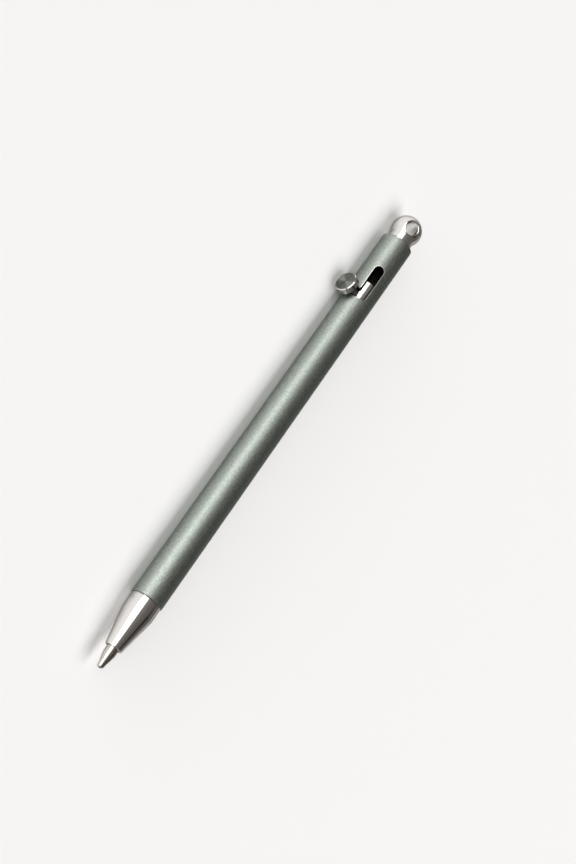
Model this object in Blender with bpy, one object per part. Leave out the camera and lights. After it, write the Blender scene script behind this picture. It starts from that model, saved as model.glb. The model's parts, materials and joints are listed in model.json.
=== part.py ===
# A thin bolt action pen, lying on its side the way it comes to rest on a table: on the barrel and on
# the rim of the bolt's knob. It is in the writing position, with the bolt turned into its notch.
#
# The pieces share one axis. They are placed along it by their distance from the barrel's rear rim,
# which is 0, towards the nose. Round the axis, angle 0 is the direction in which the knob points.

import math

import bmesh
import bpy
from mathutils import Vector

# Units

MM = 0.001
DEGREE = math.pi / 180.0

# Barrel: a long tube, bored wide from the rear and narrow in the middle. Its length follows from the
# refill, which has to reach from the plunger to the nose.

BARREL_RADIUS = 3.0 * MM
BARREL_RIM_CHAMFER = 0.12 * MM
REAR_BORE_WALL = 0.8 * MM
REFILL_BORE_ROOM = 0.175 * MM
NOSE_SOCKET_WALL = 0.7 * MM
NOSE_SOCKET_SPARE_DEPTH = 0.4 * MM

# Bolt slot: a notch, a short cross slot, and a long run towards the rear

BOLT_TRAVEL = 5.6 * MM
BOLT_TURN = 48.5 * DEGREE
SLOT_WIDTH = 1.9 * MM
LAND_CORNER_RADIUS = 0.4 * MM
LAND_CORNER_PROUD = 0.02 * MM

# Bolt handle: a turned knob on a stem that screws into the plunger

KNOB_RADIUS = 2.05 * MM
KNOB_THICKNESS = 1.35 * MM
KNOB_LIFT = 0.85 * MM
KNOB_CHAMFER = 0.15 * MM

# Plunger: slides and turns in the rear bore, with a socket for the refill's tail

PLUNGER_BEHIND_NOTCH = 3.2 * MM
PLUNGER_CHAMFER = 0.15 * MM
PLUNGER_WEB = 6.6 * MM
REFILL_GRIP = 3.0 * MM
STEM_HOLE_WALL = 1.05 * MM

# End cap: a plug in the rear bore, a neck, and a ball with a cross hole for a cord

PLUG_LENGTH = 4.1 * MM
PLUG_END_ROOM = 0.5 * MM
NECK_STEP = 0.65 * MM
NECK_FILLET_RADIUS = 0.25 * MM
END_BALL_SWELL = 0.5 * MM
END_BALL_STANDOFF = 3.2 * MM
CORD_HOLE_RADIUS = 1.3 * MM
CORD_HOLE_CHAMFER = 0.25 * MM
CORD_HOLE_ANGLE = 59.7 * DEGREE

# Nose: a short cylinder and a cone, with a screw shank and a groove for a sealing ring

NOSE_STEP = 0.18 * MM
NOSE_BODY_LENGTH = 2.7 * MM
NOSE_CONE_LENGTH = 7.0 * MM
NOSE_FRONT_WALL = 0.33 * MM
NOSE_FRONT_CHAMFER = 0.08 * MM
NOSE_SHANK_LENGTH = 5.5 * MM
NOSE_SHANK_CHAMFER = 0.3 * MM
SEAL_SECTION_RADIUS = 0.3 * MM
SEAL_GROOVE_START = 0.35 * MM

# Refill: a metal tube of the 67 mm size, with its point, its ball and its ink

REFILL_RADIUS = 1.175 * MM
REFILL_LENGTH = 67.0 * MM
REFILL_WALL = 0.225 * MM
TUBE_SETBACK = 1.2 * MM
POINT_STEP = 0.075 * MM
POINT_STRAIGHT_REACH = 1.15 * MM
POINT_CONE_LENGTH = 2.2 * MM
POINT_ROUND_LENGTH = 0.51 * MM
POINT_END_RADIUS = 0.62 * MM
POINT_SHANK_LENGTH = 3.0 * MM
WRITING_BALL_RADIUS = 0.35 * MM
WRITING_BALL_PROUD = 0.14 * MM
POINT_LIP_WALL = 0.08 * MM
INK_FEED_RADIUS = 0.2 * MM
INK_LENGTH = 34.0 * MM

# Return spring, pressed together as it is in the writing position

SPRING_SPACE = 14.0 * MM
SPRING_BORE_ROOM = 0.25 * MM
SPRING_WIRE_RADIUS = 0.2 * MM
SPRING_TURNS = 10
SPRING_POINTS_PER_TURN = 10
SPRING_LEAST_GAP = 0.4 * MM

# Clearances

FACE_GAP = 0.03 * MM
SCREW_CLEARANCE = 0.05 * MM
RUNNING_CLEARANCE = 0.1 * MM
PRESS_CLEARANCE = 0.03 * MM
REFILL_CLEARANCE = 0.07 * MM
BALL_CLEARANCE = 0.03 * MM
SOCKET_END_ROOM = 0.2 * MM

# Mesh

SIDES = 64
SMALL_SIDES = 32
ARC_STEPS = 8
BALL_STEPS = 20
WELD_DISTANCE = 0.0005 * MM
CUT_OVERRUN = 1.0 * MM
SMOOTH_ANGLE = 30.0 * DEGREE

# Radii that follow from what a piece fits in or round

rear_bore_radius = BARREL_RADIUS - REAR_BORE_WALL
refill_bore_radius = REFILL_RADIUS + REFILL_BORE_ROOM
nose_socket_radius = BARREL_RADIUS - NOSE_SOCKET_WALL
stem_radius = SLOT_WIDTH / 2.0 - RUNNING_CLEARANCE
stem_hole_radius = stem_radius + SCREW_CLEARANCE
plunger_radius = rear_bore_radius - RUNNING_CLEARANCE
refill_socket_radius = REFILL_RADIUS + REFILL_CLEARANCE
plug_radius = rear_bore_radius - SCREW_CLEARANCE
neck_radius = BARREL_RADIUS - NECK_STEP
end_ball_radius = neck_radius + END_BALL_SWELL
nose_body_radius = BARREL_RADIUS - NOSE_STEP
nose_bore_radius = REFILL_RADIUS + REFILL_CLEARANCE
nose_front_radius = nose_bore_radius + NOSE_FRONT_WALL
shank_radius = nose_socket_radius - SCREW_CLEARANCE
seal_mean_radius = shank_radius - SEAL_SECTION_RADIUS
seal_groove_radius = seal_mean_radius - SEAL_SECTION_RADIUS - FACE_GAP
seal_groove_width = 2.0 * (SEAL_SECTION_RADIUS + SCREW_CLEARANCE)
tube_bore_radius = REFILL_RADIUS - REFILL_WALL
point_radius = REFILL_RADIUS - POINT_STEP
spring_mean_radius = rear_bore_radius - SPRING_BORE_ROOM - SPRING_WIRE_RADIUS

# Heights of the handle above the axis

knob_underside = BARREL_RADIUS + KNOB_LIFT
knob_face_height = knob_underside + KNOB_THICKNESS
stem_hole_floor = STEM_HOLE_WALL - plunger_radius
stem_end = stem_hole_floor + SCREW_CLEARANCE

# Places along the axis, from the rear to the tip

plunger_rear = PLUG_LENGTH + PLUG_END_ROOM + BOLT_TRAVEL
notch_place = plunger_rear + PLUNGER_BEHIND_NOTCH
refill_socket_end = notch_place + stem_hole_radius + PLUNGER_WEB
refill_tail = refill_socket_end + SOCKET_END_ROOM + BOLT_TRAVEL
plunger_front = refill_tail + REFILL_GRIP
spring_shoulder = plunger_front + SPRING_SPACE
refill_tip = refill_tail + REFILL_LENGTH
writing_ball_place = refill_tip - WRITING_BALL_RADIUS
refill_reach = POINT_STRAIGHT_REACH + POINT_CONE_LENGTH + POINT_ROUND_LENGTH + WRITING_BALL_PROUD
nose_face = refill_tip - refill_reach
barrel_length = nose_face - NOSE_CONE_LENGTH - NOSE_BODY_LENGTH
tube_front = nose_face - TUBE_SETBACK
point_rear = tube_front - POINT_SHANK_LENGTH


def rest_elevation():
    """Angle of the knob above the horizontal, when the barrel and the knob's rim both touch the table."""
    rim_height = knob_face_height - KNOB_CHAMFER
    reach = math.hypot(rim_height, KNOB_RADIUS)
    from_straight_down = math.acos(BARREL_RADIUS / reach) + math.atan2(KNOB_RADIUS, rim_height)
    return from_straight_down - math.pi / 2.0


def pen_middle():
    """Middle of the pen's bounding box: along the axis, and sideways from it."""
    rear_end = -END_BALL_STANDOFF - end_ball_radius
    along = (rear_end + refill_tip) / 2.0
    elevation = rest_elevation()
    side_corner = (knob_face_height - KNOB_CHAMFER, KNOB_RADIUS)
    face_corner = (knob_face_height, KNOB_RADIUS - KNOB_CHAMFER)
    knob_reach = max(
        height * math.cos(elevation) + radius * abs(math.sin(elevation))
        for height, radius in (side_corner, face_corner)
    )
    sideways = (BARREL_RADIUS - knob_reach) / 2.0
    return along, sideways


def clear_scene():
    """Remove whatever the start-up file holds."""
    for item in list(bpy.data.objects):
        bpy.data.objects.remove(item, do_unlink=True)


def linear_colour(hex_colour):
    """Turn a display colour such as 'A5ABA3' into the linear values that a shader takes."""
    channels = [int(hex_colour[start:start + 2], 16) / 255.0 for start in (0, 2, 4)]
    return tuple(
        value / 12.92 if value <= 0.04045 else ((value + 0.055) / 1.055) ** 2.4
        for value in channels
    )


def make_material(name, hex_colour, roughness, metallic):
    """A Principled material with one colour."""
    material = bpy.data.materials.new(name)
    material.use_nodes = True
    shader = material.node_tree.nodes["Principled BSDF"]
    colour = (*linear_colour(hex_colour), 1.0)
    shader.inputs["Base Color"].default_value = colour
    shader.inputs["Roughness"].default_value = roughness
    shader.inputs["Metallic"].default_value = metallic
    material.diffuse_color = colour
    return material


def finish_mesh(bm, name):
    """Weld the seams, turn the faces outwards and make an object."""
    bmesh.ops.remove_doubles(bm, verts=bm.verts, dist=WELD_DISTANCE)
    bmesh.ops.recalc_face_normals(bm, faces=bm.faces)
    mesh = bpy.data.meshes.new(name)
    bm.to_mesh(mesh)
    bm.free()
    mesh.shade_smooth()
    mesh.set_sharp_from_angle(angle=SMOOTH_ANGLE)
    thing = bpy.data.objects.new(name, mesh)
    bpy.context.scene.collection.objects.link(thing)
    return thing


def turned(name, outline, closed, sides=SIDES, axis=(1.0, 0.0, 0.0)):
    """Spin an outline of (place along the axis, radius) points once round the axis.

    A closed outline makes a ring or a tube. An open one starts and ends on the axis.
    """
    along = Vector(axis)
    outward = Vector((0.0, 0.0, 1.0)) if along.x else Vector((1.0, 0.0, 0.0))
    bm = bmesh.new()
    points = [bm.verts.new(along * place + outward * radius) for place, radius in outline]
    edges = [bm.edges.new(pair) for pair in zip(points, points[1:])]
    if closed:
        edges.append(bm.edges.new((points[-1], points[0])))
    bmesh.ops.spin(
        bm, geom=points + edges, cent=(0.0, 0.0, 0.0), axis=along, dvec=(0.0, 0.0, 0.0),
        angle=math.tau, steps=sides, use_merge=True, use_duplicate=False,
    )
    return finish_mesh(bm, name)


def prism(name, outline, low, high, along_axis):
    """Extrude a flat outline: of (x, y) points along Z, or of (y, z) points along X."""
    if along_axis == "Z":
        corners = [Vector((first, second, low)) for first, second in outline]
        push = Vector((0.0, 0.0, high - low))
    else:
        corners = [Vector((low, first, second)) for first, second in outline]
        push = Vector((high - low, 0.0, 0.0))
    bm = bmesh.new()
    face = bm.faces.new([bm.verts.new(corner) for corner in corners])
    grown = bmesh.ops.extrude_face_region(bm, geom=[face])
    moved = [item for item in grown["geom"] if isinstance(item, bmesh.types.BMVert)]
    bmesh.ops.translate(bm, verts=moved, vec=push)
    return finish_mesh(bm, name)


def arc(centre, radius, start, end, steps):
    """Points of a circular arc, from one angle to another, both ends included."""
    return [
        (
            centre[0] + radius * math.cos(start + (end - start) * step / steps),
            centre[1] + radius * math.sin(start + (end - start) * step / steps),
        )
        for step in range(steps + 1)
    ]


def place(thing, carrier, along=0.0, turn=0.0):
    """Put a piece on the carrier's axis, at a distance along it and an angle round it."""
    thing.parent = carrier
    thing.location = (along, 0.0, 0.0)
    thing.rotation_euler = (turn, 0.0, 0.0)


def cut(target, cutter):
    """Take the cutter's shape out of the target, and hide the cutter."""
    modifier = target.modifiers.new("cut_" + cutter.name, "BOOLEAN")
    modifier.operation = "DIFFERENCE"
    modifier.solver = "EXACT"
    modifier.object = cutter
    cutter.hide_render = True
    cutter.display_type = "WIRE"


def add_slot_cuts(barrel, carrier):
    """Cut the notch, the cross slot, the long run and the rounded corner of the land between them."""
    half = SLOT_WIDTH / 2.0
    outside = BARREL_RADIUS + CUT_OVERRUN
    rear_centre = notch_place - BOLT_TRAVEL

    # The arcs have a flat side, not a corner, where they meet the straight sides of the cross slot.
    half_side = math.pi / SMALL_SIDES
    circle = arc((0.0, 0.0), half, half_side, math.tau + half_side, SMALL_SIDES)[:-1]
    notch = prism("notch_cutter", circle, 0.0, outside, "Z")
    place(notch, carrier, notch_place)
    cut(barrel, notch)

    odd_steps = SMALL_SIDES // 2 - 1
    front_half = arc((notch_place, 0.0), half, -math.pi / 2.0, math.pi / 2.0, odd_steps)
    rear_half = arc((rear_centre, 0.0), half, math.pi / 2.0, 3.0 * math.pi / 2.0, odd_steps)
    run = prism("run_cutter", front_half + rear_half, 0.0, outside, "Z")
    place(run, carrier, turn=-BOLT_TURN)
    cut(barrel, run)

    # The knob points along +Z, and the run lies at BOLT_TURN from it towards +Y.
    fan = [(0.0, 0.0)] + arc((0.0, 0.0), outside, math.pi / 2.0 - BOLT_TURN, math.pi / 2.0, SMALL_SIDES)
    cross = prism("cross_cutter", fan, notch_place - half, notch_place + half, "X")
    place(cross, carrier)
    cut(barrel, cross)

    corner_x = notch_place - half
    corner_y = -half
    radius = LAND_CORNER_RADIUS
    centre_x = corner_x - radius + LAND_CORNER_PROUD
    centre_y = corner_y - radius + LAND_CORNER_PROUD
    hollow = arc((centre_x, centre_y), radius, math.pi / 2.0, 0.0, ARC_STEPS)
    beyond = [(corner_x + half, centre_y), (corner_x + half, corner_y + half), (centre_x, corner_y + half)]
    corner = prism("land_corner_cutter", hollow + beyond, 0.0, outside, "Z")
    place(corner, carrier, turn=-BOLT_TURN)
    cut(barrel, corner)


def make_barrel(carrier):
    """The tube that the hand holds, with its bores and the bolt slot."""
    chamfer = BARREL_RIM_CHAMFER
    socket_floor = barrel_length - NOSE_SHANK_LENGTH - NOSE_SOCKET_SPARE_DEPTH
    outline = [
        (0.0, rear_bore_radius),
        (spring_shoulder, rear_bore_radius),
        (spring_shoulder, refill_bore_radius),
        (socket_floor, refill_bore_radius),
        (socket_floor, nose_socket_radius),
        (barrel_length, nose_socket_radius),
        (barrel_length, BARREL_RADIUS - chamfer),
        (barrel_length - chamfer, BARREL_RADIUS),
        (chamfer, BARREL_RADIUS),
        (0.0, BARREL_RADIUS - chamfer),
    ]
    barrel = turned("barrel", outline, closed=True)
    place(barrel, carrier)
    add_slot_cuts(barrel, carrier)
    return barrel


def make_nose_cone(carrier):
    """The polished nose: cone and cylinder outside, screw shank and seal groove inside the barrel."""
    face = NOSE_BODY_LENGTH + NOSE_CONE_LENGTH
    groove_front = -SEAL_GROOVE_START
    groove_rear = groove_front - seal_groove_width
    outline = [
        (face, nose_bore_radius),
        (face, nose_front_radius - NOSE_FRONT_CHAMFER),
        (face - NOSE_FRONT_CHAMFER, nose_front_radius),
        (NOSE_BODY_LENGTH, nose_body_radius),
        (FACE_GAP, nose_body_radius),
        (FACE_GAP, shank_radius),
        (groove_front, shank_radius),
        (groove_front, seal_groove_radius),
        (groove_rear, seal_groove_radius),
        (groove_rear, shank_radius),
        (NOSE_SHANK_CHAMFER - NOSE_SHANK_LENGTH, shank_radius),
        (-NOSE_SHANK_LENGTH, shank_radius - NOSE_SHANK_CHAMFER),
        (-NOSE_SHANK_LENGTH, nose_bore_radius),
    ]
    nose = turned("nose_cone", outline, closed=True)
    place(nose, carrier, barrel_length)
    return nose


def make_nose_seal(carrier):
    """The rubber ring that keeps the nose from working loose."""
    outline = arc((0.0, seal_mean_radius), SEAL_SECTION_RADIUS, 0.0, math.tau, 2 * ARC_STEPS)[:-1]
    seal = turned("nose_o_ring", outline, closed=True)
    place(seal, carrier, barrel_length - SEAL_GROOVE_START - seal_groove_width / 2.0)
    return seal


def make_end_cap(carrier):
    """The ball end: a plug in the barrel, a neck, and the ball with its cross hole."""
    ball_centre = -END_BALL_STANDOFF
    fillet = NECK_FILLET_RADIUS
    fillet_height = neck_radius + fillet
    fillet_x = ball_centre + math.sqrt((end_ball_radius + fillet) ** 2 - fillet_height ** 2)
    ball_touch = math.atan2(fillet_height, fillet_x - ball_centre)
    ball = arc((ball_centre, 0.0), end_ball_radius, math.pi, ball_touch, BALL_STEPS)
    ball[0] = (ball_centre - end_ball_radius, 0.0)
    neck_fillet = arc(
        (fillet_x, fillet_height), fillet,
        math.pi + ball_touch, 3.0 * math.pi / 2.0, ARC_STEPS // 2,
    )
    outline = ball + neck_fillet[1:] + [
        (-FACE_GAP, neck_radius),
        (-FACE_GAP, plug_radius),
        (PLUG_LENGTH - PLUNGER_CHAMFER, plug_radius),
        (PLUG_LENGTH, plug_radius - PLUNGER_CHAMFER),
        (PLUG_LENGTH, 0.0),
    ]
    cap = turned("end_cap", outline, closed=False)
    place(cap, carrier)
    cut(cap, make_cord_hole_cutter(carrier, ball_centre))
    return cap


def make_cord_hole_cutter(carrier, ball_centre):
    """A spool that bores the ball across and chamfers both mouths."""
    mouth = math.sqrt(end_ball_radius ** 2 - CORD_HOLE_RADIUS ** 2)
    bevel_start = mouth - CORD_HOLE_CHAMFER
    end = end_ball_radius + CUT_OVERRUN
    end_radius = CORD_HOLE_RADIUS + end - bevel_start
    outline = [
        (-end, 0.0),
        (-end, end_radius),
        (-bevel_start, CORD_HOLE_RADIUS),
        (bevel_start, CORD_HOLE_RADIUS),
        (end, end_radius),
        (end, 0.0),
    ]
    cutter = turned("cord_hole_cutter", outline, closed=False, sides=SMALL_SIDES, axis=(0.0, 0.0, 1.0))
    place(cutter, carrier, ball_centre, -CORD_HOLE_ANGLE)
    return cutter


def make_plunger(carrier):
    """The rod that carries the bolt handle at the rear and holds the refill's tail in front."""
    chamfer = PLUNGER_CHAMFER
    outline = [
        (plunger_rear, 0.0),
        (plunger_rear, plunger_radius - chamfer),
        (plunger_rear + chamfer, plunger_radius),
        (plunger_front - chamfer, plunger_radius),
        (plunger_front, plunger_radius - chamfer),
        (plunger_front, refill_socket_radius),
        (refill_socket_end, refill_socket_radius),
        (refill_socket_end, 0.0),
    ]
    plunger = turned("plunger", outline, closed=False)
    place(plunger, carrier)
    circle = arc((0.0, 0.0), stem_hole_radius, 0.0, math.tau, SMALL_SIDES)[:-1]
    hole = prism("stem_hole_cutter", circle, stem_hole_floor, plunger_radius + CUT_OVERRUN, "Z")
    place(hole, carrier, notch_place)
    cut(plunger, hole)
    return plunger


def make_bolt_handle(carrier):
    """The knob and its stem, turned in one piece."""
    outline = [
        (stem_end, 0.0),
        (stem_end, stem_radius),
        (knob_underside, stem_radius),
        (knob_underside, KNOB_RADIUS - KNOB_CHAMFER),
        (knob_underside + KNOB_CHAMFER, KNOB_RADIUS),
        (knob_face_height - KNOB_CHAMFER, KNOB_RADIUS),
        (knob_face_height, KNOB_RADIUS - KNOB_CHAMFER),
        (knob_face_height, 0.0),
    ]
    handle = turned("bolt_handle", outline, closed=False, axis=(0.0, 0.0, 1.0))
    place(handle, carrier, notch_place)
    return handle


def spring_points():
    """Centre line of the spring's wire, from the plunger's face to the barrel's shoulder."""
    seat = SPRING_WIRE_RADIUS + FACE_GAP
    start = plunger_front + seat
    length = SPRING_SPACE - 2.0 * seat
    count = SPRING_TURNS * SPRING_POINTS_PER_TURN
    points = []
    for step in range(count + 1):
        angle = math.tau * step / SPRING_POINTS_PER_TURN
        points.append(Vector((
            start + length * step / count,
            spring_mean_radius * math.cos(angle),
            spring_mean_radius * math.sin(angle),
        )))
    return points


def spring_gap(points):
    """Least gap of the wire to its own next turns, measured between points of the centre line."""
    least = min(
        (points[first] - points[second]).length
        for first in range(len(points))
        for second in range(first + SPRING_POINTS_PER_TURN // 2, len(points))
    )
    return least - 2.0 * SPRING_WIRE_RADIUS


def make_return_spring(carrier):
    """One unbroken round wire, wound into a coil spring."""
    points = spring_points()
    gap = spring_gap(points)
    print("return spring: least gap between turns {:.2f} mm".format(gap / MM))
    if gap <= SPRING_LEAST_GAP:
        print("return spring: the turns lie closer than they should")
    curve = bpy.data.curves.new("return_spring", "CURVE")
    curve.dimensions = "3D"
    curve.bevel_depth = SPRING_WIRE_RADIUS
    curve.bevel_resolution = 1
    curve.use_fill_caps = True
    wire = curve.splines.new("POLY")
    wire.points.add(len(points) - 1)
    for target, point in zip(wire.points, points):
        target.co = (*point, 1.0)
    spring = bpy.data.objects.new("return_spring", curve)
    bpy.context.scene.collection.objects.link(spring)
    place(spring, carrier)
    return spring


def make_refill_tube(carrier):
    """The refill's metal body, closed at the tail."""
    outline = [
        (refill_tail, 0.0),
        (refill_tail, REFILL_RADIUS),
        (tube_front, REFILL_RADIUS),
        (tube_front, tube_bore_radius),
        (refill_tail + REFILL_WALL, tube_bore_radius),
        (refill_tail + REFILL_WALL, 0.0),
    ]
    tube = turned("refill_tube", outline, closed=False, sides=SMALL_SIDES)
    place(tube, carrier)
    return tube


def make_refill_point(carrier):
    """The point that is pressed into the tube and holds the writing ball."""
    lip_place = refill_tip - WRITING_BALL_PROUD
    socket = WRITING_BALL_RADIUS + BALL_CLEARANCE
    lip_angle = math.acos((lip_place - writing_ball_place) / socket)
    feed_angle = math.pi - math.asin(INK_FEED_RADIUS / socket)
    seat = arc((writing_ball_place, 0.0), socket, lip_angle, feed_angle, ARC_STEPS)
    lip_radius = socket * math.sin(lip_angle) + POINT_LIP_WALL
    cone_start = nose_face + POINT_STRAIGHT_REACH
    round_start = cone_start + POINT_CONE_LENGTH
    round_length = lip_place - round_start
    round_drop = POINT_END_RADIUS - lip_radius
    nose_round = [
        (round_start + round_length * math.sin(turn), lip_radius + round_drop * math.cos(turn))
        for turn in (math.pi / 2.0 * step / ARC_STEPS for step in range(ARC_STEPS + 1))
    ]
    shank = tube_bore_radius - PRESS_CLEARANCE
    outline = [
        (point_rear, INK_FEED_RADIUS),
        (point_rear, shank),
        (tube_front + FACE_GAP, shank),
        (tube_front + FACE_GAP, point_radius),
        (cone_start, point_radius),
    ] + nose_round + seat
    point = turned("refill_point", outline, closed=True, sides=SMALL_SIDES)
    place(point, carrier)
    return point


def make_writing_ball(carrier):
    """The hard ball that rolls in the point."""
    outline = arc((0.0, 0.0), WRITING_BALL_RADIUS, math.pi, 0.0, 2 * ARC_STEPS)
    outline[0] = (-WRITING_BALL_RADIUS, 0.0)
    outline[-1] = (WRITING_BALL_RADIUS, 0.0)
    ball = turned("writing_ball", outline, closed=False, sides=SMALL_SIDES)
    place(ball, carrier, writing_ball_place)
    return ball


def make_ink_column(carrier):
    """The ink paste in the tube, behind the point."""
    front = point_rear - FACE_GAP
    radius = tube_bore_radius - PRESS_CLEARANCE
    outline = [(front - INK_LENGTH, 0.0), (front - INK_LENGTH, radius), (front, radius), (front, 0.0)]
    ink = turned("ink_column", outline, closed=False, sides=SMALL_SIDES)
    place(ink, carrier)
    return ink


def make_carrier():
    """The pen's axis: level, at the barrel's radius above the table, rolled until the knob rests too."""
    along, sideways = pen_middle()
    carrier = bpy.data.objects.new("pen_axis", None)
    carrier.location = (-along, -sideways, BARREL_RADIUS)
    carrier.rotation_euler = (math.pi / 2.0 - rest_elevation(), 0.0, 0.0)
    bpy.context.scene.collection.objects.link(carrier)
    return carrier


def build_pen():
    """Make every piece and give each its own material."""
    carrier = make_carrier()
    pieces = (
        (make_barrel, "blasted_titanium", "9DA39B", 0.45, 1.0),
        (make_nose_cone, "polished_nose_titanium", "C9C7C0", 0.12, 1.0),
        (make_nose_seal, "black_seal_rubber", "1A1A1A", 0.7, 0.0),
        (make_end_cap, "polished_end_titanium", "C9C7C0", 0.12, 1.0),
        (make_plunger, "polished_plunger_titanium", "CFCDC6", 0.15, 1.0),
        (make_bolt_handle, "turned_handle_titanium", "A9AAA3", 0.25, 1.0),
        (make_return_spring, "spring_steel", "8E9093", 0.3, 1.0),
        (make_refill_tube, "refill_nickel_silver", "C2BDB0", 0.2, 1.0),
        (make_refill_point, "point_nickel_silver", "D0CCC2", 0.15, 1.0),
        (make_writing_ball, "carbide_ball", "6E7074", 0.15, 1.0),
        (make_ink_column, "blue_black_ink", "12152B", 0.35, 0.0),
    )
    for make_piece, finish, hex_colour, roughness, metallic in pieces:
        piece = make_piece(carrier)
        piece.data.materials.append(make_material(finish, hex_colour, roughness, metallic))


clear_scene()
build_pen()
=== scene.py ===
# %% [markdown]
# # A bolt action pen, dressed from its CAD frame
#
# The real object is a slim titanium pen. A bead-blasted barrel has an L-shaped slot, in which the
# stem of a knob slides and turns. The nose and the neck with its ball are polished, and the plunger
# inside is ground. The pen lies on a table here, on its barrel and on the rim of the knob.
#
# The CAD model gives the places and the main sizes. Its pieces are coarse on purpose, so this
# lesson makes each piece again, rounder and with its small chamfers, and gives it a real finish.
# Every piece could be drawn by hand in the viewport. Each step below says how.

import json
import math

import bmesh
import bpy
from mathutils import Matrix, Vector

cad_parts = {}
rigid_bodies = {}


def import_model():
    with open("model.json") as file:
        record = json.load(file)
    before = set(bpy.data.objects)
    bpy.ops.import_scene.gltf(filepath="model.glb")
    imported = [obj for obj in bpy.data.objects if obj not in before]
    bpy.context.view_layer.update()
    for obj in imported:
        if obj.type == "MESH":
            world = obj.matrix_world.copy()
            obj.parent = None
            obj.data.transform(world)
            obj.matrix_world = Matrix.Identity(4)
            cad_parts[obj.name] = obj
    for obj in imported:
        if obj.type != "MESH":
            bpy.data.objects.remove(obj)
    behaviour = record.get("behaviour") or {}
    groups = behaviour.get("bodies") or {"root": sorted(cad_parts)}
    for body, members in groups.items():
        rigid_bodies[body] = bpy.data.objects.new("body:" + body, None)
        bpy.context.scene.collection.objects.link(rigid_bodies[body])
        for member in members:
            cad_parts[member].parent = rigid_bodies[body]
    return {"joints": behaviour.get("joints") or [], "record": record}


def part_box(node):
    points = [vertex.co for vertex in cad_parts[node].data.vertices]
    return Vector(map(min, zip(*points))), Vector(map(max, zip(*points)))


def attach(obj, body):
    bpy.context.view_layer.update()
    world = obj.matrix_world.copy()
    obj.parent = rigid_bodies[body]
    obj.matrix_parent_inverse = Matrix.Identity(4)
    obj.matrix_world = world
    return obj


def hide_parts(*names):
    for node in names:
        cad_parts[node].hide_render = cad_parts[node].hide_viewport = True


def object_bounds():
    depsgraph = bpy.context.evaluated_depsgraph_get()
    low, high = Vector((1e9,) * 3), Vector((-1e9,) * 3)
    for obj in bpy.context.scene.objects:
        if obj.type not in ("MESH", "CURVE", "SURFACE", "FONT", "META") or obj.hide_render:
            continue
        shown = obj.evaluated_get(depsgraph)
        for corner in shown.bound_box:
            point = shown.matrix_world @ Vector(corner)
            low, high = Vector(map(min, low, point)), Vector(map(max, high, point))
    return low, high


MM = 0.001

bpy.ops.object.select_all(action="SELECT")
bpy.ops.object.delete()
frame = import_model()
cad_low, cad_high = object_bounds()
print("CAD box in mm:", [round((high - low) / MM, 3) for low, high in zip(cad_low, cad_high)])

# %% [markdown]
# ## Places and sizes from the frame
#
# All pieces share one axis, which runs along X. The bolt's hinge gives its height and its side, and
# the place of the notch. The ends of the pieces come from the boxes of the CAD nodes. A direction
# round the axis is an angle from straight up, by the right-hand rule about X.

# %% Read the axis and the ends of the pieces
joints = {joint["name"]: joint for joint in frame["joints"]}
hinge = joints["bolt_turn"]
knob_mount = frame["record"]["mounts"][0]
notch_x, axis_y, axis_z = hinge["pos_m"]
bolt_turn = math.radians(hinge["range_deg"][1])
bolt_travel = joints["refill_retract"]["range_m"][1]
knob_normal = Vector(knob_mount["axis"])
knob_angle = math.atan2(-knob_normal.y, knob_normal.z)
slot_angle = knob_angle - bolt_turn
barrel_radius = axis_z
rear_rim, front_rim = (corner.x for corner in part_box("barrel"))
print("barrel mm:", round((front_rim - rear_rim) / MM, 3), "radius", round(barrel_radius / MM, 3))
print("knob at", round(math.degrees(knob_angle), 2), "degrees")
print("slot at", round(math.degrees(slot_angle), 2), "degrees")

# %% [markdown]
# ## Working as by hand
#
# Operators act on what is selected, as in the viewport. So each step picks one piece, opens it with
# nothing selected, and chooses vertices, edges or faces by their place. A finished piece has its
# place in its mesh, and its object stays at the origin, so that no pattern slides on it later.

# %% Small helpers for objects and selection
WELD = 0.001 * MM


def pick(piece):
    """Make a piece the only selected object and the active one."""
    bpy.ops.object.select_all(action="DESELECT")
    piece.select_set(True)
    bpy.context.view_layer.objects.active = piece


def edit(piece, kind="VERT"):
    """Open a piece in edit mode with nothing selected."""
    pick(piece)
    bpy.ops.object.mode_set(mode="EDIT")
    bpy.ops.mesh.select_mode(type=kind)
    bpy.ops.mesh.select_all(action="DESELECT")
    return bmesh.from_edit_mesh(piece.data)


def choose(piece, elements, wanted):
    """Select, in edit mode, the elements for which a test is true, and say how many they are."""
    chosen = [element for element in elements if wanted(element)]
    for element in chosen:
        element.select_set(True)
    bmesh.update_edit_mesh(piece.data)
    return len(chosen)


def close_up(piece):
    """Weld what lies together, turn all faces outwards, and leave edit mode."""
    bpy.ops.mesh.select_all(action="SELECT")
    bpy.ops.mesh.remove_doubles(threshold=WELD)
    bpy.ops.mesh.normals_make_consistent(inside=False)
    bpy.ops.object.mode_set(mode="OBJECT")
    return piece


def settle(piece):
    """Put the piece's place into its mesh, so that the object stays at the origin."""
    pick(piece)
    bpy.ops.object.transform_apply(location=True, rotation=True, scale=True)


# %% [markdown]
# ## A lathe
#
# Nearly every piece of a pen is turned on a lathe, so the Spin tool is the natural way to make it.
# A plane is added and merged to one point. The point is extruded along half of the piece's section,
# and the section is spun once round the X axis. Points on the axis meet in a pole, which the weld
# closes. Primitive cylinders would give straight walls, but none of the chamfers and steps.

# %% The lathe itself


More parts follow.
